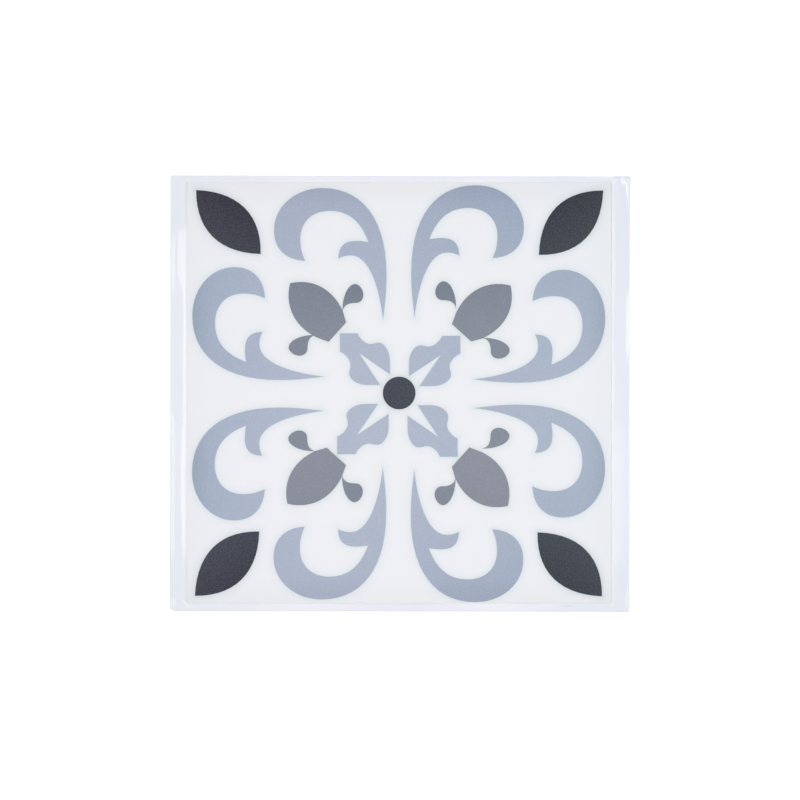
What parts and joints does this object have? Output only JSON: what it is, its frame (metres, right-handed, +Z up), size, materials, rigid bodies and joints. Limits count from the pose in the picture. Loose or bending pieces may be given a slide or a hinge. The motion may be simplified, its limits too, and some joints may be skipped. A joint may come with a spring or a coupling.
{
  "type": "vinyl floor tile",
  "caption": "Thin square peel-and-stick vinyl tile with a printed scroll and leaf ornament, face up on a slightly larger glossy release liner whose side margins curl up.",
  "frame": {"origin": "centre of the flat underside of the release liner, on the floor", "axes": "+Z up, out of the printed face; +X across the tile, towards the wider margin of the liner; +Y towards the back edge, the top of the picture"},
  "size_m": [0.2162, 0.205, 0.0008],
  "materials": {
    "printed_vinyl": "matte",
    "liner_film": "gloss",
    "print_charcoal": "matte",
    "print_grey": "matte",
    "print_blue_grey": "matte"
  },
  "bodies": {
    "root": {"vinyl_tile": "printed_vinyl", "release_liner": "liner_film"}
  },
  "joints": []
}
